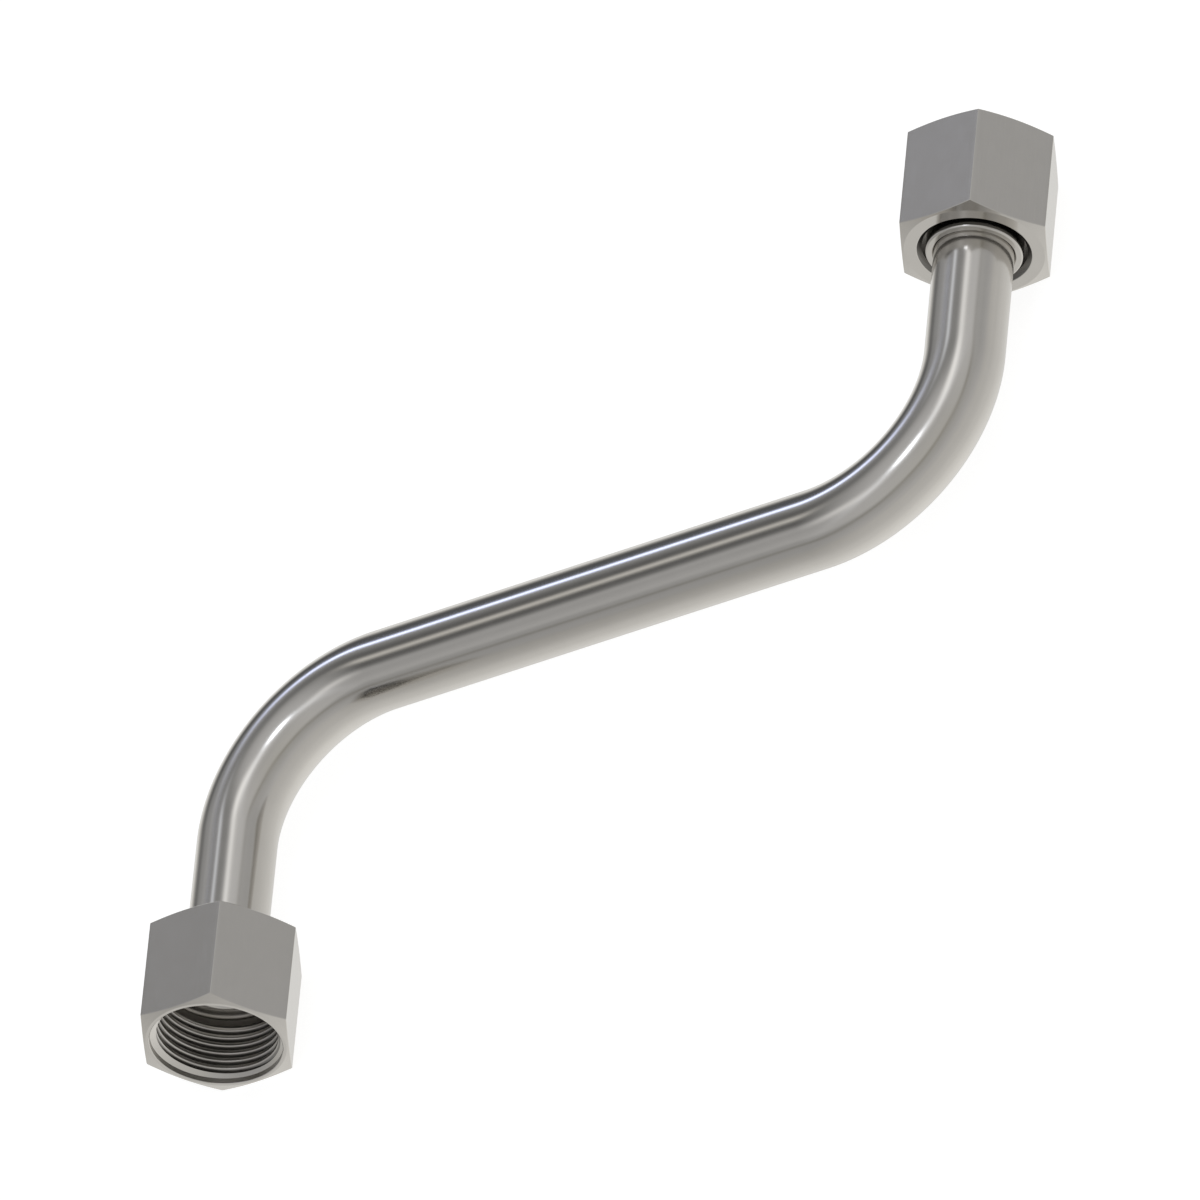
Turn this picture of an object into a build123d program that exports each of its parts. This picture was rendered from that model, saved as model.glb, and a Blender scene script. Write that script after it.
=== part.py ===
"""Hydraulic bypass line: a bent steel tube with a loose sleeve and a swivel nut at each end.

Millimetres, +Z up. The line lies on its side, as it comes to rest on a bench: the tube's plane is
level and each nut stands on one of its flats. The legs run along Y and the middle run along X.
The origin is on the bench, under the middle of the run.
"""
from build123d import *
import math
import os

# Bent tube
TUBE_DIA = 15.875
TUBE_WALL = 2.108
LEG_SPACING = 165.0
LEG_LENGTH = 66.0
BEND_RADIUS = 31.75

# Flange turned outwards at each end of the tube, whose flat front is the seal face
FLANGE_SETBACK = 0.3
FLANGE_THICKNESS = 2.0
FLANGE_MOUTH_RADIUS = 1.9
FLANGE_ROOT_RADIUS = 0.8
FLANGE_EDGE_RADIUS = 0.35

# Sleeve that backs the flange
COLLAR_DIA = 23.2
COLLAR_LENGTH = 3.4
TAIL_DIA = 19.2
TAIL_LENGTH = 5.1
TAIL_END_RADIUS = 0.45
COLLAR_EDGE_CHAMFER = 0.3
SLEEVE_FRONT_CHAMFER = 1.0
SLEEVE_REAR_CHAMFER = 0.25

# Swivel nut
NUT_ACROSS_FLATS = 28.575
NUT_LENGTH = 23.5
NUT_CHAMFER_DIA = 27.6
NUT_CHAMFER_ANGLE = 15.0
MOUTH_RECESS_DIA = 26.2
MOUTH_RECESS_DEPTH = 1.2
MOUTH_CONE_ANGLE = 27.0
THREAD_MINOR_DIA = 23.8
THREAD_MAJOR_DIA = 25.4
THREAD_END_DEPTH = 12.9
RELIEF_LENGTH = 2.4
SEAL_FACE_DEPTH = 13.6
TAIL_HOLE_DIA = 20.82
TAIL_HOLE_CHAMFER = 0.94

# Clearances
SLIDE_CLEARANCE = 0.08
SWIVEL_CLEARANCE = 0.08
SEAT_CLEARANCE = 0.05
RELIEF_CLEARANCE = 0.1
BEND_CLEARANCE = 0.25

TUBE_R = TUBE_DIA / 2
BORE_R = TUBE_R - TUBE_WALL
FLANGE_R = COLLAR_DIA / 2 - FLANGE_SETBACK
AXIS_HEIGHT = NUT_ACROSS_FLATS / 2

# Stations along an end's axis, from the seal face: positive out of the mouth, negative to the bend
COLLAR_FRONT = -(FLANGE_THICKNESS + SEAT_CLEARANCE)
COLLAR_REAR = COLLAR_FRONT - COLLAR_LENGTH
SLEEVE_END = COLLAR_REAR - TAIL_LENGTH
NUT_MOUTH = SEAL_FACE_DEPTH
NUT_SEAT = COLLAR_REAR - SEAT_CLEARANCE
NUT_REAR = NUT_MOUTH - NUT_LENGTH
STRAIGHT_END = -(LEG_LENGTH - BEND_RADIUS)

# How far sleeve and nut slide back along the leg before the first of them meets the bend
SLIDE_TRAVEL = min(SLEEVE_END, NUT_REAR) - STRAIGHT_END - BEND_CLEARANCE


def turned(points):
    """Solid of revolution about the Z axis from an outline of (radius, height) points."""
    outline = make_face(Polyline(*[(r, 0, z) for r, z in points], close=True))
    return revolve(outline, axis=Axis.Z, revolution_arc=360)


def circles_at(solid, z, radius):
    """Circular edges of the given radius in the level plane at height z."""
    rings = solid.edges().filter_by(GeomType.CIRCLE)
    return [e for e in rings if abs(e.radius - radius) < 1e-4 and abs(e.center().Z - z) < 1e-4]


def end_flange():
    """Flange ring about the Z axis, with the seal face at height 0 and the tube's hole through it."""
    disc = Cylinder(FLANGE_R, FLANGE_THICKNESS, align=(Align.CENTER, Align.CENTER, Align.MAX))
    rims = circles_at(disc, 0, FLANGE_R) + circles_at(disc, -FLANGE_THICKNESS, FLANGE_R)
    disc = fillet(rims, FLANGE_EDGE_RADIUS)
    root = turned([
        (0, -FLANGE_THICKNESS),
        (TUBE_R + FLANGE_ROOT_RADIUS, -FLANGE_THICKNESS),
        (TUBE_R + FLANGE_ROOT_RADIUS, -FLANGE_THICKNESS - FLANGE_ROOT_RADIUS),
        (0, -FLANGE_THICKNESS - FLANGE_ROOT_RADIUS),
    ])
    hollow = Pos(0, 0, -FLANGE_THICKNESS - FLANGE_ROOT_RADIUS) * Torus(
        TUBE_R + FLANGE_ROOT_RADIUS, FLANGE_ROOT_RADIUS)
    return disc + (root - hollow)


def end_mouth():
    """Hole to cut at a tube end: the bore, and the rounded lip that leads into it."""
    lip = turned([
        (0, 1),
        (BORE_R + FLANGE_MOUTH_RADIUS, 1),
        (BORE_R + FLANGE_MOUTH_RADIUS, -FLANGE_MOUTH_RADIUS),
        (0, -FLANGE_MOUTH_RADIUS),
    ])
    ring = Pos(0, 0, -FLANGE_MOUTH_RADIUS) * Torus(BORE_R + FLANGE_MOUTH_RADIUS, FLANGE_MOUTH_RADIUS)
    return lip - ring


def end_place(side):
    """Place of an end's own frame: side -1 is the left end, which opens towards -Y, and +1 the right."""
    origin = (side * LEG_SPACING / 2, side * LEG_LENGTH, AXIS_HEIGHT)
    return Plane(origin=origin, x_dir=(-side, 0, 0), z_dir=(0, side, 0)).location


def bent_tube():
    """Tube with two right-angle bends in one plane, flanged at both ends."""
    half = LEG_SPACING / 2
    route = FilletPolyline(
        (-half, -LEG_LENGTH, AXIS_HEIGHT),
        (-half, 0, AXIS_HEIGHT),
        (half, 0, AXIS_HEIGHT),
        (half, LEG_LENGTH, AXIS_HEIGHT),
        radius=BEND_RADIUS,
    )
    start = Plane(origin=route @ 0, z_dir=route % 0)
    wall = sweep(start * Circle(TUBE_R), path=route)
    bore = sweep(start * Circle(BORE_R), path=route)
    for side in (-1, 1):
        wall += end_place(side) * end_flange()
    wall -= bore
    for side in (-1, 1):
        wall -= end_place(side) * end_mouth()
    return wall


def support_sleeve():
    """Sleeve that slides on the tube behind the flange: a collar, and a tail with a rounded end."""
    bore_r = TUBE_R + SLIDE_CLEARANCE
    body = turned([
        (bore_r + SLEEVE_FRONT_CHAMFER, COLLAR_FRONT),
        (COLLAR_DIA / 2 - COLLAR_EDGE_CHAMFER, COLLAR_FRONT),
        (COLLAR_DIA / 2, COLLAR_FRONT - COLLAR_EDGE_CHAMFER),
        (COLLAR_DIA / 2, COLLAR_REAR),
        (TAIL_DIA / 2, COLLAR_REAR),
        (TAIL_DIA / 2, SLEEVE_END),
        (bore_r + SLEEVE_REAR_CHAMFER, SLEEVE_END),
        (bore_r, SLEEVE_END + SLEEVE_REAR_CHAMFER),
        (bore_r, COLLAR_FRONT - SLEEVE_FRONT_CHAMFER),
    ])
    return fillet(circles_at(body, SLEEVE_END, TAIL_DIA / 2), TAIL_END_RADIUS)


def nut_hexagon():
    """Hexagon bar with both ends turned to a shallow cone, so that each flat ends in a curve."""
    flats = RegularPolygon(NUT_ACROSS_FLATS / 2, 6, major_radius=False)
    bar = Pos(0, 0, NUT_REAR) * extrude(flats, NUT_LENGTH)
    face_r = NUT_CHAMFER_DIA / 2
    outer_r = NUT_ACROSS_FLATS
    drop = (outer_r - face_r) * math.tan(math.radians(NUT_CHAMFER_ANGLE))
    cones = turned([
        (0, NUT_MOUTH),
        (face_r, NUT_MOUTH),
        (outer_r, NUT_MOUTH - drop),
        (outer_r, NUT_REAR + drop),
        (face_r, NUT_REAR),
        (0, NUT_REAR),
    ])
    return bar & cones


def nut_hollow():
    """Everything turned out of the nut: mouth, thread hole, relief, collar seat and tail hole."""
    recess_r = MOUTH_RECESS_DIA / 2
    thread_r = THREAD_MINOR_DIA / 2
    relief_r = THREAD_MAJOR_DIA / 2 + RELIEF_CLEARANCE
    collar_r = COLLAR_DIA / 2 + SWIVEL_CLEARANCE
    tail_r = TAIL_HOLE_DIA / 2
    recess_floor = NUT_MOUTH - MOUTH_RECESS_DEPTH
    cone_end = recess_floor - (recess_r - thread_r) * math.tan(math.radians(MOUTH_CONE_ANGLE))
    thread_end = NUT_MOUTH - THREAD_END_DEPTH
    relief_end = thread_end - RELIEF_LENGTH
    return turned([
        (0, NUT_MOUTH + 1),
        (recess_r, NUT_MOUTH + 1),
        (recess_r, recess_floor),
        (thread_r, cone_end),
        (thread_r, thread_end),
        (relief_r, thread_end - (relief_r - thread_r)),
        (relief_r, relief_end),
        (collar_r, relief_end - (relief_r - collar_r)),
        (collar_r, NUT_SEAT),
        (tail_r, NUT_SEAT),
        (tail_r, NUT_REAR + TAIL_HOLE_CHAMFER),
        (tail_r + TAIL_HOLE_CHAMFER, NUT_REAR),
        (tail_r + TAIL_HOLE_CHAMFER, NUT_REAR - 1),
        (0, NUT_REAR - 1),
    ])


def swivel_nut():
    """Hexagon nut that turns on the sleeve's collar and draws the flange against its fitting."""
    return nut_hexagon() - nut_hollow()


def main():
    pieces = {"bent_tube": bent_tube()}
    for name, side in (("left", -1), ("right", 1)):
        pieces[name + "_sleeve"] = end_place(side) * support_sleeve()
        pieces[name + "_nut"] = end_place(side) * swivel_nut()
    os.makedirs("parts", exist_ok=True)
    for node, solid in pieces.items():
        export_step(solid, os.path.join("parts", node + ".step"))
        print(node, "volume", round(solid.volume, 1), "mm3")
    print("slide travel", round(SLIDE_TRAVEL, 3), "mm")


main()
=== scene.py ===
"""Looks of the hydraulic bypass line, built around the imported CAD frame.

Shapes are worked out in millimetres and placed in metres, in the frame's own axes. Each end of the
line has its own axis: z is measured from the seal face, positive out of the nut's mouth.
"""
import math

import bpy
from mathutils import Matrix, Vector


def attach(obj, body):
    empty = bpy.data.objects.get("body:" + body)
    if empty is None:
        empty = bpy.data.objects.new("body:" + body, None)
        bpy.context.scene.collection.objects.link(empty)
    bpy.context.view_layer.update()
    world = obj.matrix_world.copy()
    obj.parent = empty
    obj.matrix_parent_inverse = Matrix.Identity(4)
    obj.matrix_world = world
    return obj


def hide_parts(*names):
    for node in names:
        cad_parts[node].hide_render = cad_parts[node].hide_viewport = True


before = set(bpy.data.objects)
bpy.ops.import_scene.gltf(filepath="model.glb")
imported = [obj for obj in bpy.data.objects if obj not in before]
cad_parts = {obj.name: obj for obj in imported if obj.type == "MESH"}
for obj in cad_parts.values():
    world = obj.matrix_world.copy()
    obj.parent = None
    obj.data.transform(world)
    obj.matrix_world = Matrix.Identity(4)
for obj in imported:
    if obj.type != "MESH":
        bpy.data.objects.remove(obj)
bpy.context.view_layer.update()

MM = 0.001
TURN = 2 * math.pi

# Tube, as in the CAD source
TUBE_R = 7.9375
BORE_R = TUBE_R - 2.108
LEG_SPACING = 165.0
LEG_LENGTH = 66.0
BEND_RADIUS = 31.75
AXIS_HEIGHT = 14.2875

# Flange at each end of the tube
FLANGE_R = 11.3
FLANGE_THICKNESS = 2.0
FLANGE_EDGE_RADIUS = 0.35
FLANGE_ROOT_RADIUS = 0.8
MOUTH_RADIUS = 1.9

# Sleeve
SLEEVE_BORE_R = 8.0175
SLEEVE_FRONT_CHAMFER = 1.0
SLEEVE_REAR_CHAMFER = 0.25
COLLAR_EDGE_CHAMFER = 0.3
COLLAR_R = 11.6
COLLAR_FRONT = -2.05
COLLAR_REAR = -5.45
TAIL_R = 9.6
TAIL_END = -10.55
TAIL_END_RADIUS = 0.45

# Nut
NUT_APOTHEM = 14.2875
NUT_CORNER_RADIUS = 0.12
NUT_MOUTH = 13.6
NUT_REAR = -9.9
CHAMFER_R = 13.8
CHAMFER_SLOPE = math.tan(math.radians(15))
RECESS_R = 13.1
RECESS_FLOOR = 12.4
CONE_SLOPE = math.tan(math.radians(27))
RELIEF_R = 12.8
RELIEF_END = -1.7
NUT_COLLAR_R = 11.68
NUT_COLLAR_END = -2.82
NUT_SEAT = -5.5
TAIL_HOLE_R = 10.41
TAIL_CHAMFER_R = 11.35
EDGE_BREAK = 0.1

# Thread of the nuts, 1-14, right hand
PITCH = 25.4 / 14
MINOR_R = 11.9
MAJOR_R = 12.7
THREAD_END = 0.7
FLANK_RUN = (MAJOR_R - MINOR_R) * math.tan(math.radians(30))
ROOT_FLAT = PITCH / 8
CREST_FLAT = PITCH - ROOT_FLAT - 2 * FLANK_RUN
CREST_ROUNDING = 0.22
THREAD_START = math.radians(160)
CONE_END = RECESS_FLOOR - (RECESS_R - MINOR_R) * CONE_SLOPE
RUNOUT_SLOPE = 1.8
THREAD_TURNS = range(-2, 8)

# Fineness of the meshes. A row of points beside a rounding keeps the flat next to it flat: so many
# millimetres from it, or for the nut's corners so many times the rounding's own half angle
ROW_BESIDE_EDGE = 0.15
ROW_BESIDE_RIM = 0.1
ROW_BESIDE_CORNER = 1.3
TURNED_STEPS = 144
TUBE_STEPS = 128
BEND_STEPS = 48
NUT_STEP_DEGREES = 2.5
SHARP_DEGREES = 12
HALVINGS = 40

# Attribute that keeps each point's place along and round its piece, for the tool marks
OWN_PLACE = "own_place"


def thread_profile():
    """One turn of the thread as points (rise, radius): the crest with rounded edges, then the root."""
    reach = CREST_ROUNDING * math.tan(math.radians(30))
    turns = [math.radians(10 * i) for i in range(7)]
    edge = [(CREST_ROUNDING * math.sin(t) - reach, MINOR_R + CREST_ROUNDING * (1 - math.cos(t)))
            for t in turns]
    near = [(-rise, radius) for rise, radius in reversed(edge)]
    far = [(CREST_FLAT + rise, radius) for rise, radius in edge]
    root = [(CREST_FLAT + FLANK_RUN, MAJOR_R), (CREST_FLAT + FLANK_RUN + ROOT_FLAT, MAJOR_R)]
    return near + far + root


PROFILE = thread_profile()


class Shell:
    """Mesh that is built from faces of points; points in the same place become one vertex."""

    def __init__(self):
        self.index = {}
        self.points = []
        self.own = []
        self.faces = []
        self.kinds = []

    def vertex(self, place, own):
        key = tuple(round(c, 5) for c in own)
        if key not in self.index:
            self.index[key] = len(self.points)
            self.points.append(place)
            self.own.append(own)
        return self.index[key]

    def face(self, corners, kind=0):
        """corners are (place, own place) pairs in order; corners that fall together are merged."""
        ids = []
        for place, own in corners:
            i = self.vertex(place, own)
            if i not in ids:
                ids.append(i)
        if len(ids) > 2:
            self.faces.append(ids)
            self.kinds.append(kind)

    def build(self, name, materials):
        mesh = bpy.data.meshes.new(name)
        mesh.from_pydata([tuple(c * MM for c in p) for p in self.points], [], self.faces)
        mesh.validate()
        for material in materials:
            mesh.materials.append(material)
        mesh.polygons.foreach_set("material_index", self.kinds)
        own = mesh.attributes.new(OWN_PLACE, "FLOAT_VECTOR", "POINT")
        own.data.foreach_set("vector", [c for p in self.own for c in p])
        mesh.shade_smooth()
        mesh.set_sharp_from_angle(angle=math.radians(SHARP_DEGREES))
        piece = bpy.data.objects.new(name, mesh)
        bpy.context.scene.collection.objects.link(piece)
        return piece


def end_place(side, x, y, z):
    """Point of an end's own frame in the frame of the part: side -1 is the left end, +1 the right."""
    return (side * LEG_SPACING / 2 - side * x, side * (LEG_LENGTH + z), AXIS_HEIGHT + y)


def arc(centre, radius, start, end, steps):
    """Points (r, z) of an arc about a centre (r, z), from one angle to another in degrees."""
    turns = [math.radians(start + (end - start) * i / steps) for i in range(steps + 1)]
    return [(centre[0] + radius * math.cos(t), centre[1] + radius * math.sin(t)) for t in turns]


def revolved(name, outline, side, materials):
    """Turned piece: a closed (r, z) outline about an end's axis."""
    shell = Shell()
    steps = TURNED_STEPS
    angles = [TURN * j / steps for j in range(steps)]

    def corner(i, j):
        r, z = outline[i % len(outline)]
        a = angles[j % steps]
        own = (r * math.cos(a), r * math.sin(a), z)
        return end_place(side, *own), own

    for j in range(steps):
        for i in range(len(outline)):
            shell.face([corner(i, j), corner(i, j + 1), corner(i + 1, j + 1), corner(i + 1, j)])
    return shell.build(name, materials)


def nut_angles():
    """Angles of the nut's columns: even steps, and closer ones over and beside each rounded corner."""
    centre = (NUT_APOTHEM - NUT_CORNER_RADIUS) / math.cos(math.radians(30))
    side_reach = NUT_CORNER_RADIUS * math.sin(math.radians(30))
    outward_reach = centre + NUT_CORNER_RADIUS * math.cos(math.radians(30))
    tangent = math.degrees(math.atan2(side_reach, outward_reach))
    near = [0, tangent / 3, 2 * tangent / 3, tangent, tangent * ROW_BESIDE_CORNER]
    flat = [NUT_STEP_DEGREES * i for i in range(1, round(60 / NUT_STEP_DEGREES))]
    sector = near + flat + [60 - a for a in reversed(near[1:])]
    return [math.radians(60 * c + a) for c in range(6) for a in sector]


def hexagon_radius(angle):
    """Distance from the axis to the hexagon's side, rounded at its corners."""
    off = (angle + math.radians(30)) % math.radians(60) - math.radians(30)
    centre = (NUT_APOTHEM - NUT_CORNER_RADIUS) / math.cos(math.radians(30))
    inside = NUT_CORNER_RADIUS ** 2 - (centre * math.sin(off)) ** 2
    flat = NUT_APOTHEM / math.cos(math.radians(30) - abs(off))
    if inside <= 0:
        return flat
    return min(flat, centre * math.cos(off) + math.sqrt(inside))


def thread_radius(z, angle):
    """Radius of the thread's own surface at a height and an angle."""
    start = PROFILE[0][0]
    phase = start + (z - THREAD_END - PITCH * (angle - THREAD_START) / TURN - start) % PITCH
    points = PROFILE + [(start + PITCH, PROFILE[0][1])]
    for (low, r_low), (high, r_high) in zip(points, points[1:]):
        if phase <= high:
            return r_low + (r_high - r_low) * (phase - low) / (high - low)
    return PROFILE[0][1]


def crossing(angle, inside, beyond, wall):
    """Where the thread meets the wall that ends it, as (r, z). wall gives a radius for z, which grows
    from the minor radius at inside to the major radius at beyond."""
    for _ in range(HALVINGS):
        middle = (inside + beyond) / 2
        if thread_radius(middle, angle) >= wall(middle):
            inside = middle
        else:
            beyond = middle
    return wall(inside), inside


def thread_rows(angle):
    """Points (r, z) up the thread at one angle, cut off where it meets the relief and the cone."""
    depth = MAJOR_R - MINOR_R
    bottom = crossing(angle, THREAD_END, THREAD_END - depth / RUNOUT_SLOPE,
                      lambda z: MINOR_R + (THREAD_END - z) * RUNOUT_SLOPE)
    top = crossing(angle, CONE_END, CONE_END + depth * CONE_SLOPE,
                   lambda z: MINOR_R + (z - CONE_END) / CONE_SLOPE)
    rows = []
    for turn in THREAD_TURNS:
        for rise, radius in PROFILE:
            z = THREAD_END + PITCH * (turn + (angle - THREAD_START) / TURN) + rise
            rows.append(bottom if z <= bottom[1] else top if z >= top[1] else (radius, z))
    return rows


def nut_column(angle):
    """Outline (r, z) of the nut at one angle, in two lists: the thread, and all that follows above it,
    round the outside and back through the tail hole."""
    rho = hexagon_radius(angle)
    inner = rho - EDGE_BREAK

    def drop(r):
        return (r - CHAMFER_R) * CHAMFER_SLOPE

    thread = thread_rows(angle)
    plain = [
        (RECESS_R, RECESS_FLOOR),
        (RECESS_R, NUT_MOUTH - EDGE_BREAK),
        (RECESS_R + EDGE_BREAK, NUT_MOUTH),
        (CHAMFER_R, NUT_MOUTH),
        (inner, NUT_MOUTH - drop(inner)),
        (rho, NUT_MOUTH - drop(rho) - EDGE_BREAK),
        (rho, NUT_REAR + drop(rho) + EDGE_BREAK),
        (inner, NUT_REAR + drop(inner)),
        (CHAMFER_R, NUT_REAR),
        (TAIL_CHAMFER_R + EDGE_BREAK / 2, NUT_REAR),
        (TAIL_CHAMFER_R - EDGE_BREAK / 2, NUT_REAR + EDGE_BREAK / 2),
        (TAIL_HOLE_R, NUT_REAR + TAIL_CHAMFER_R - TAIL_HOLE_R),
        (TAIL_HOLE_R, NUT_SEAT),
        (NUT_COLLAR_R, NUT_SEAT),
        (NUT_COLLAR_R, NUT_COLLAR_END),
        (RELIEF_R, RELIEF_END),
        (RELIEF_R, THREAD_END - (RELIEF_R - MINOR_R) / RUNOUT_SLOPE),
    ]
    return thread, plain


# Faces of the nut after its thread, by their place in the column: (first, last, material)
TURNED, DRAWN, HOLLOW, TAIL_HOLE, THREAD = range(5)
NUT_FACES = [(1, 1, HOLLOW), (6, 6, DRAWN), (11, 13, TAIL_HOLE), (14, 17, HOLLOW)]


def swivel_nut(name, side, materials):
    """Hexagon nut with its thread, as columns of points side by side."""
    shell = Shell()
    angles = nut_angles()
    count = len(angles)
    columns = [nut_column(a) for a in angles]

    def corner(point, j):
        r, z = point
        a = angles[j % count]
        own = (r * math.cos(a), r * math.sin(a), z)
        return end_place(side, *own), own

    for j in range(count):
        k = (j + 1) % count
        wrap = len(PROFILE) if k == 0 else 0
        thread, plain = columns[j]
        next_thread, next_plain = columns[k]
        for i in range(len(thread) - 1):
            after = [next_thread[min(i + wrap + step, len(thread) - 1)] for step in (0, 1)]
            shell.face([corner(thread[i + 1], j), corner(after[1], k), corner(after[0], k),
                        corner(thread[i], j)], THREAD)
        loop = [thread[-1]] + plain + [thread[0]]
        next_loop = [next_thread[-1]] + next_plain + [next_thread[0]]
        for i in range(len(loop) - 1):
            kinds = [kind for first, last, kind in NUT_FACES if first <= i <= last]
            shell.face([corner(loop[i + 1], j), corner(next_loop[i + 1], k),
                        corner(next_loop[i], k), corner(loop[i], j)], kinds[0] if kinds else TURNED)
    return shell.build(name, materials)


def support_sleeve(name, side, material):
    """Sleeve behind the flange: a collar, and a tail with a rounded end."""
    outline = [
        (SLEEVE_BORE_R + SLEEVE_FRONT_CHAMFER, COLLAR_FRONT),
        (COLLAR_R - COLLAR_EDGE_CHAMFER, COLLAR_FRONT),
        (COLLAR_R, COLLAR_FRONT - COLLAR_EDGE_CHAMFER),
        (COLLAR_R, COLLAR_REAR),
        (TAIL_R, COLLAR_REAR),
        (TAIL_R, TAIL_END + TAIL_END_RADIUS + ROW_BESIDE_EDGE),
    ]
    outline += arc((TAIL_R - TAIL_END_RADIUS, TAIL_END + TAIL_END_RADIUS), TAIL_END_RADIUS, 0, -90, 12)
    outline += [
        (SLEEVE_BORE_R + SLEEVE_REAR_CHAMFER, TAIL_END),
        (SLEEVE_BORE_R, TAIL_END + SLEEVE_REAR_CHAMFER),
        (SLEEVE_BORE_R, COLLAR_FRONT - SLEEVE_FRONT_CHAMFER),
    ]
    return revolved(name, outline[::-1], side, [material])


# Lengths along the tube's axis: a leg's straight part, a bend, the middle run, and all of it
STRAIGHT = LEG_LENGTH - BEND_RADIUS
BEND = math.pi / 2 * BEND_RADIUS
RUN = LEG_SPACING - 2 * BEND_RADIUS
TOTAL = 2 * STRAIGHT + 2 * BEND + RUN


def tube_line(station):
    """Centre and sideways direction of the tube, at a length along it from the left seal face."""
    if station > TOTAL / 2:
        (x, y), (u, v) = tube_line(TOTAL - station)
        return (-x, -y), (u, v)
    half = LEG_SPACING / 2
    if station < STRAIGHT:
        return (-half, station - LEG_LENGTH), (-1, 0)
    if station < STRAIGHT + BEND:
        a = (station - STRAIGHT) / BEND_RADIUS
        u, v = -math.cos(a), math.sin(a)
        return (-half + BEND_RADIUS * (1 + u), BEND_RADIUS * (v - 1)), (u, v)
    return (-half + BEND_RADIUS + station - STRAIGHT - BEND, 0), (0, 1)


def tube_rings():
    """Rings (station, radius) of the tube: over the outside from left to right, back in the bore."""
    edge, root = FLANGE_EDGE_RADIUS, FLANGE_ROOT_RADIUS
    lip = arc((BORE_R + MOUTH_RADIUS, MOUTH_RADIUS), MOUTH_RADIUS, 180, 270, 16)
    front = [(BORE_R + MOUTH_RADIUS + ROW_BESIDE_EDGE, 0), (FLANGE_R - edge - ROW_BESIDE_RIM, 0)]
    rim = arc((FLANGE_R - edge, edge), edge, -90, 0, 8)
    back = arc((FLANGE_R - edge, FLANGE_THICKNESS - edge), edge, 0, 90, 8)
    fillet = arc((TUBE_R + root, FLANGE_THICKNESS + root), root, -90, -180, 8)
    left_end = [(s, r) for r, s in lip + front + rim + back + fillet]
    bend = [BEND * i / BEND_STEPS for i in range(BEND_STEPS + 1)]
    stations = [STRAIGHT * i / 3 for i in (1, 2)]
    stations += [STRAIGHT + s for s in bend]
    stations += [STRAIGHT + BEND + RUN * i / 6 for i in range(1, 6)]
    stations += [TOTAL - STRAIGHT - BEND + s for s in bend]
    stations += [TOTAL - STRAIGHT * i / 3 for i in (2, 1)]
    outside = [(s, TUBE_R) for s in stations]
    right_end = [(TOTAL - s, r) for s, r in reversed(left_end)]
    inside = [(s, BORE_R) for s in reversed(stations)]
    return left_end + outside + right_end + inside


def bent_tube(name, material):
    """Tube with both flanges, as rings of points along its axis."""
    shell = Shell()
    steps = TUBE_STEPS
    rings = tube_rings()
    angles = [TURN * j / steps for j in range(steps)]

    def corner(i, j):
        station, radius = rings[i % len(rings)]
        (x, y), (u, v) = tube_line(station)
        c, s = radius * math.cos(angles[j % steps]), radius * math.sin(angles[j % steps])
        return (x + c * u, y + c * v, AXIS_HEIGHT + s), (c, s, station)

    for i in range(len(rings)):
        for j in range(steps):
            shell.face([corner(i, j), corner(i, j + 1), corner(i + 1, j + 1), corner(i + 1, j)])
    return shell.build(name, [material])


def add_node(tree, kind, values=None, **settings):
    """Node with its settings and its inputs' values; a value that is a socket becomes a link."""
    node = tree.nodes.new(kind)
    for key, value in settings.items():
        setattr(node, key, value)
    for key, value in (values or {}).items():
        if isinstance(value, bpy.types.NodeSocket):
            tree.links.new(value, node.inputs[key])
        else:
            node.inputs[key].default_value = value
    return node


# Faint cloudiness of the steel: patches per millimetre, the noise's useful range, and how far the
# colour goes either way
CLOUD_SCALE = 0.25
NOISE_LOW, NOISE_HIGH = 0.6, 1.4
SHADE_LOW, SHADE_HIGH = 0.975, 1.02


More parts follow.
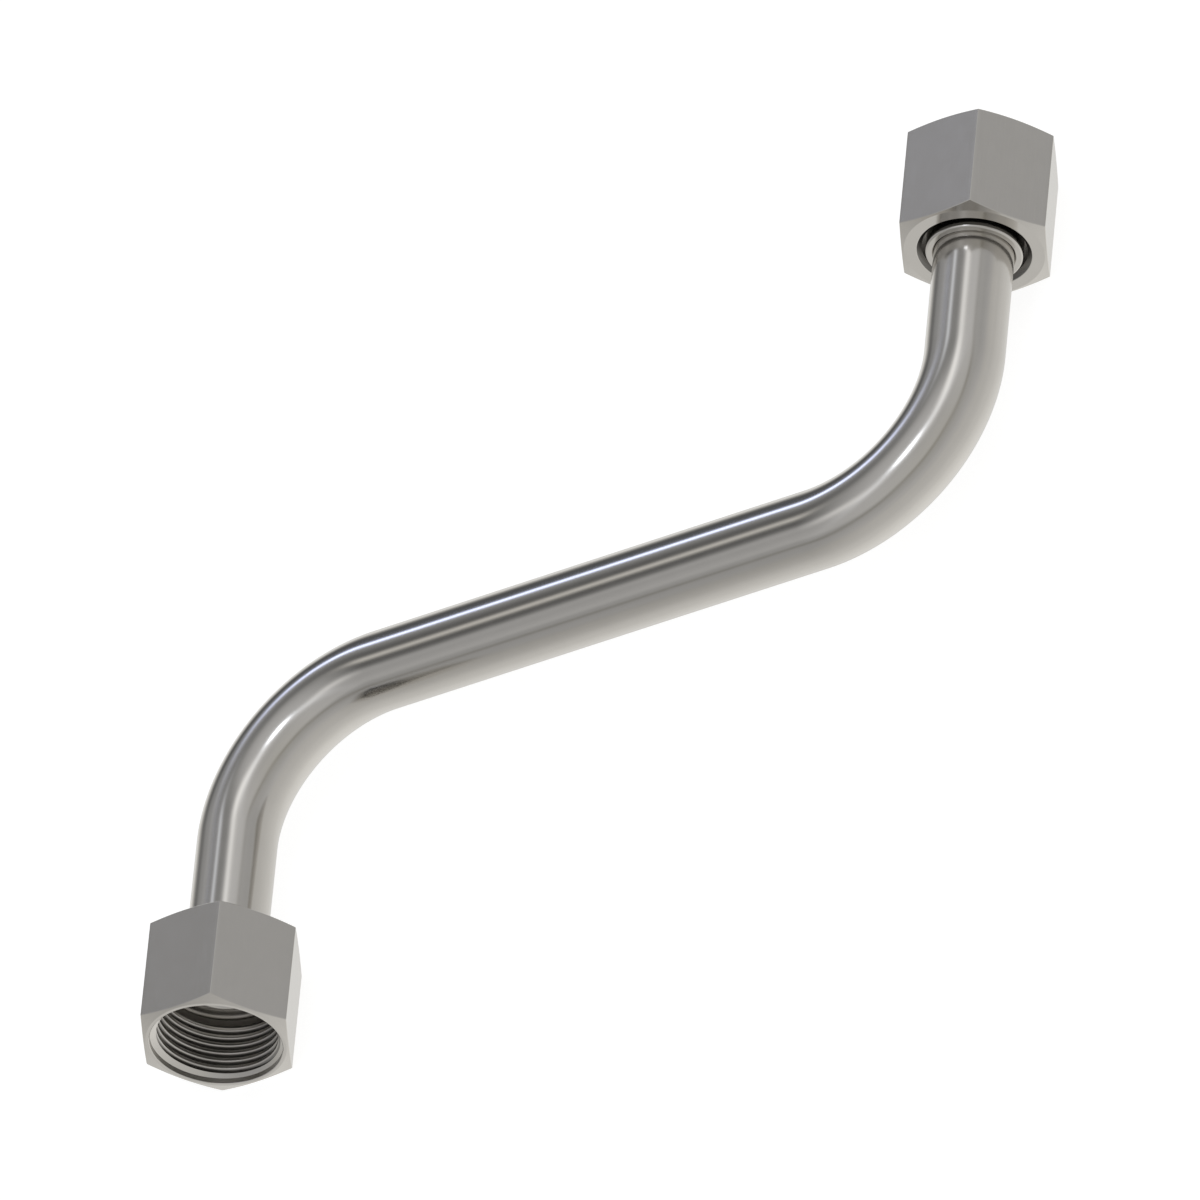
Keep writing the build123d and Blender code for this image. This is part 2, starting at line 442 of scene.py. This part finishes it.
def steel(name, colour, roughness, marks, turned, painted_groove_shade=None):
    """Bright steel. roughness is its (low, high) range. marks is (across, along, depth): how fine the
    tool marks are per millimetre across and along them, and how deep. turned says that they run
    round the piece's own axis. The last argument, (inner, outer, share), is painted shade: the colour
    falls to that share between two radii, darker deeper into a groove."""
    material = bpy.data.materials.new(name)
    material.use_nodes = True
    tree = material.node_tree
    shader = tree.nodes["Principled BSDF"]
    across, along, depth = marks
    own = add_node(tree, "ShaderNodeAttribute", attribute_name=OWN_PLACE).outputs["Vector"]
    parts = add_node(tree, "ShaderNodeSeparateXYZ", {0: own}).outputs
    if turned:
        flat = add_node(tree, "ShaderNodeCombineXYZ", {0: parts[0], 1: parts[1]}).outputs[0]
        radius = add_node(tree, "ShaderNodeVectorMath", {0: flat}, operation="LENGTH").outputs["Value"]
        place = add_node(tree, "ShaderNodeCombineXYZ", {0: radius, 1: parts[2]}).outputs[0]
        scale = (across, across, 1)
    else:
        place = own
        scale = (across, across, along)
    fine = add_node(tree, "ShaderNodeMapping", {"Vector": place, "Scale": scale}).outputs[0]
    lines = add_node(tree, "ShaderNodeTexNoise", {"Vector": fine, "Scale": 1.0, "Detail": 3.0,
                                                  "Roughness": 0.6}).outputs["Fac"]
    patches = add_node(tree, "ShaderNodeTexNoise", {"Vector": own, "Scale": CLOUD_SCALE, "Detail": 4.0,
                                                    "Roughness": 0.55}).outputs["Fac"]
    mixed = add_node(tree, "ShaderNodeMath", {0: lines, 1: patches}, operation="ADD").outputs[0]

    def mapped(value, span, to):
        values = {"Value": value, "From Min": span[0], "From Max": span[1],
                  "To Min": to[0], "To Max": to[1]}
        return add_node(tree, "ShaderNodeMapRange", values).outputs[0]

    rough = mapped(mixed, (NOISE_LOW, NOISE_HIGH), roughness)
    tint = mapped(mixed, (NOISE_LOW, NOISE_HIGH), (0.0, 1.0))
    shades = [(*[c * shade for c in colour], 1) for shade in (SHADE_LOW, SHADE_HIGH)]
    colours = add_node(tree, "ShaderNodeMix", {"Factor": tint, 6: shades[0], 7: shades[1]},
                       data_type="RGBA")
    bump = add_node(tree, "ShaderNodeBump", {"Height": lines, "Strength": 1.0, "Distance": depth * MM})
    shown = colours.outputs[2]
    # Painted shade: the colour darkens from the inner radius to the outer one, deeper into the groove
    if painted_groove_shade:
        inner, outer, share = painted_groove_shade
        fall = mapped(radius, (inner, outer), (1.0, share))
        shown = add_node(tree, "ShaderNodeVectorMath", {0: shown, "Scale": fall},
                         operation="SCALE").outputs[0]
    tree.links.new(shown, shader.inputs["Base Color"])
    tree.links.new(rough, shader.inputs["Roughness"])
    tree.links.new(bump.outputs[0], shader.inputs["Normal"])
    shader.inputs["Metallic"].default_value = 1.0
    return material


STEEL_COLOUR = (0.63, 0.612, 0.585)
# Painted shade: the nut's tail hole, its chamfer and the seat are the same steel coloured darker, for
# the shade inside the hole
TAIL_HOLE_PAINTED_SHADE = (0.2, 0.195, 0.187)

tube_steel = steel("tube_steel", STEEL_COLOUR, (0.13, 0.16), (1.6, 0.02, 0.0015), turned=False)
sleeve_steel = steel("sleeve_steel", STEEL_COLOUR, (0.16, 0.2), (4.0, 4.0, 0.001), turned=True)
nut_steels = [
    steel("nut_steel_turned", STEEL_COLOUR, (0.1, 0.14), (3.5, 3.5, 0.001), turned=True),
    steel("nut_steel_drawn", STEEL_COLOUR, (0.09, 0.12), (3.0, 0.15, 0.0015), turned=False),
    steel("nut_steel_hollow", STEEL_COLOUR, (0.32, 0.4), (3.5, 3.5, 0.001), turned=True),
    steel("nut_steel_tail_hole_shaded", TAIL_HOLE_PAINTED_SHADE, (0.24, 0.32), (3.5, 3.5, 0.001), turned=True),
    # Painted shade in the thread: the colour falls to half deeper in its grooves
    steel("nut_steel_thread", STEEL_COLOUR, (0.26, 0.32), (3.5, 3.5, 0.001), turned=True,
          painted_groove_shade=(12.03, 12.25, 0.5)),
]


tube = bent_tube("tube_body", tube_steel)
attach(tube, "tube")
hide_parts("bent_tube")

for label, side in (("left", -1), ("right", 1)):
    sleeve = support_sleeve(label + "_support_sleeve", side, sleeve_steel)
    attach(sleeve, label + "_sleeve")
    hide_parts(label + "_sleeve")
    nut = swivel_nut(label + "_swivel_nut", side, nut_steels)
    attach(nut, label + "_nut")
    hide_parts(label + "_nut")


# Camera, far off. Azimuth from -Y towards +X, height, and how far the picture is turned, all in
# degrees, and the frame's width at the object in metres
VIEW_AZIMUTH = 40.05
VIEW_HEIGHT = 40.44
PICTURE_TURN = 46.64
FRAME_WIDTH = 0.2340
LENS = 1200.0
SENSOR = 36.0

camera_data = bpy.data.cameras.new("camera")
camera_data.lens = LENS
camera_data.sensor_width = SENSOR
camera_data.clip_start = 0.1
camera_data.clip_end = 100.0
camera = bpy.data.objects.new("camera", camera_data)
bpy.context.scene.collection.objects.link(camera)
view = Matrix.Translation((0, 0, AXIS_HEIGHT * MM))
for degrees, axis in ((VIEW_AZIMUTH, "Z"), (90 - VIEW_HEIGHT, "X"), (-PICTURE_TURN, "Z")):
    view @= Matrix.Rotation(math.radians(degrees), 4, axis)
camera.matrix_world = view @ Matrix.Translation((0, 0, FRAME_WIDTH * LENS / SENSOR))
bpy.context.scene.camera = camera


# Floor: the paint takes the studio's light and the shadow, and the glow brings it to white
FLOOR_REACH = 8.0
FLOOR_PAINT = 0.4
FLOOR_GLOW = 0.845


def white_floor():
    """White floor that shows the object's soft shadow, and that reflections don't see."""
    size = FLOOR_REACH
    mesh = bpy.data.meshes.new("floor")
    mesh.from_pydata([(-size, -size, 0), (size, -size, 0), (size, size, 0), (-size, size, 0)], [],
                     [(0, 1, 2, 3)])
    material = bpy.data.materials.new("floor_white")
    material.use_nodes = True
    tree = material.node_tree
    tree.nodes.remove(tree.nodes["Principled BSDF"])
    seen = add_node(tree, "ShaderNodeLightPath").outputs["Is Camera Ray"]
    lift = add_node(tree, "ShaderNodeMath", {0: seen, 1: FLOOR_GLOW}, operation="MULTIPLY").outputs[0]
    glow = add_node(tree, "ShaderNodeEmission", {"Color": (1, 1, 1, 1), "Strength": lift})
    paint = add_node(tree, "ShaderNodeBsdfDiffuse", {"Color": (*[FLOOR_PAINT] * 3, 1)})
    both = add_node(tree, "ShaderNodeAddShader", {0: paint.outputs[0], 1: glow.outputs[0]})
    tree.links.new(both.outputs[0], tree.nodes["Material Output"].inputs["Surface"])
    mesh.materials.append(material)
    floor = bpy.data.objects.new("floor", mesh)
    bpy.context.scene.collection.objects.link(floor)
    floor.visible_glossy = False
    floor.visible_shadow = False


white_floor()


# Studio that the steel reflects, placed to bring the streaks and shades of the picture.
# A tint is multiplied by a level; a level below nought takes light away, like a dark card.
WHITE = (1.0, 1.0, 1.0)
CREAM = (1.0, 0.99, 0.96)
COOL = (0.95, 1.0, 1.1)
BLUE = (0.8, 0.9, 1.3)
WARM = (1.03, 1.0, 0.94)

# Walls from the floor below to the ceiling: height in degrees above the horizon, level, tint
WALLS = [
    (-90, 0.96, CREAM),
    (-50, 0.77, CREAM),
    (-25, 0.65, CREAM),
    (-8, 0.62, CREAM),
    (3, 0.56, WHITE),
    (14, 0.51, WHITE),
    (25, 0.49, WHITE),
    (32, 0.62, WHITE),
    (45, 0.59, WHITE),
    (60, 0.50, WHITE),
    (90, 0.59, WHITE),
]

# Soft boxes and cards: azimuth from -Y towards +X, height, half width, half height and turn, all in
# degrees, then level and tint
PANELS = [
    (60, 76, 4, 2.5, 5, 4.5, COOL),         # skylight
    (50, 74, 22, 4, 8, 0.32, COOL),         # glow round the skylight
    (144, 58, 15, 4.5, -45, 0.7, WHITE),    # right end of the bright ceiling edge
    (120, 59, 18, 7, -30, 0.12, WHITE),     # glow below it
    (-30, 63, 13, 5, 28, 0.45, WHITE),      # left end of the ceiling edge
    (-15, 55, 18, 7, 15, 0.08, WHITE),      # glow below it
    (-144, 32, 2.2, 4.5, 25, 2.2, BLUE),    # narrow window behind, which draws the blue streak
    (-157, 50, 3, 2.5, 0, 0.7, COOL),       # small window above it
    (-102, 59, 4, 3, 0, 0.75, WARM),        # lamp
    (-140, 5, 25, 8, 0, -0.41, WHITE),      # dark card behind, below the window
    (-154, 22, 12, 8, 0, -0.3, WARM),       # card between them
    (-124, 50, 18, 10, 12, -0.25, WHITE),   # dark corner behind, above the window
    (-76, 56, 23, 13, 0, -0.35, WHITE),     # dark corner at the left
    (180, 55, 12, 8, 0, -0.22, WHITE),      # dark corner at the back
    (-35, -5, 20, 18, 0, -0.16, WHITE),     # card at the left
    (125, 6, 12, 8, 0, -0.07, WHITE),       # card that shades the right-hand flats
    (65, 35, 30, 18, 0, -0.06, BLUE),       # warm shade at the right
    (-140, -19, 20, 7, -15, 0.32, WHITE),   # bright floor behind
]

# Dark line along the front and right-hand walls, as five narrow cards: azimuth and height of each
CORNICE = [(-25, 17), (5, 22), (38, 27), (72, 29), (108, 28)]
PANELS += [(azimuth, rise, 14, 2, 3, -0.14, COOL) for azimuth, rise in CORNICE]

# Least light that comes from anywhere
DARKEST = 0.02


def panel_light(tree, way, panel, light):
    """Adds one soft box to the light that comes from a way: full at its middle, faded at its rim."""
    azimuth, rise, wide, tall, turned, level, tint = panel
    a, e, t = (math.radians(v) for v in (azimuth, rise, turned))
    middle = Vector((math.sin(a) * math.cos(e), -math.cos(a) * math.cos(e), math.sin(e)))
    across = Vector((math.cos(a), math.sin(a), 0))
    upwards = Vector((-math.sin(a) * math.sin(e), math.cos(a) * math.sin(e), math.cos(e)))
    side_axis = (across * math.cos(t) + upwards * math.sin(t)) / math.sin(math.radians(wide))
    tall_axis = (upwards * math.cos(t) - across * math.sin(t)) / math.sin(math.radians(tall))

    def along(axis):
        return add_node(tree, "ShaderNodeVectorMath", {0: way, 1: axis},
                        operation="DOT_PRODUCT").outputs["Value"]

    def maths(operation, *values):
        return add_node(tree, "ShaderNodeMath", dict(enumerate(values)), operation=operation).outputs[0]

    x, y = along(side_axis), along(tall_axis)
    spread = maths("MULTIPLY_ADD", y, y, maths("MULTIPLY", x, x))
    fade = maths("POWER", math.exp(-0.5), spread)
    facing = maths("GREATER_THAN", along(middle), 0.0)
    part = maths("MULTIPLY", fade, facing)
    colour = [level * t for t in tint]
    return add_node(tree, "ShaderNodeVectorMath", {0: part, 1: colour, 2: light},
                    operation="MULTIPLY_ADD").outputs[0]


def studio_world():
    """World that lights the object like a studio, and shows white to the camera."""
    world = bpy.data.worlds.new("studio")
    bpy.context.scene.world = world
    world.use_nodes = True
    tree = world.node_tree
    tree.nodes.clear()
    way = add_node(tree, "ShaderNodeTexCoord").outputs["Generated"]
    height = add_node(tree, "ShaderNodeSeparateXYZ", {0: way}).outputs[2]
    share = add_node(tree, "ShaderNodeMath", {0: height, 1: 0.5, 2: 0.5},
                     operation="MULTIPLY_ADD").outputs[0]
    ramp = add_node(tree, "ShaderNodeValToRGB", {0: share})
    stops = ramp.color_ramp.elements
    while len(stops) < len(WALLS):
        stops.new(0.5)
    for stop, (degrees, level, tint) in zip(stops, WALLS):
        stop.position = 0.5 + 0.5 * math.sin(math.radians(degrees))
        stop.color = (*[level * t for t in tint], 1)
    light = ramp.outputs[0]
    for panel in PANELS:
        light = panel_light(tree, way, panel, light)
    light = add_node(tree, "ShaderNodeVectorMath", {0: light, 1: (DARKEST,) * 3},
                     operation="MAXIMUM").outputs[0]
    studio = add_node(tree, "ShaderNodeBackground", {"Color": light})
    white = add_node(tree, "ShaderNodeBackground", {"Color": (1, 1, 1, 1)})
    seen = add_node(tree, "ShaderNodeLightPath").outputs["Is Camera Ray"]
    shown = add_node(tree, "ShaderNodeMixShader", {0: seen, 1: studio.outputs[0], 2: white.outputs[0]})
    add_node(tree, "ShaderNodeOutputWorld", {"Surface": shown.outputs[0]})


studio_world()
bpy.context.scene.view_settings.view_transform = "Standard"
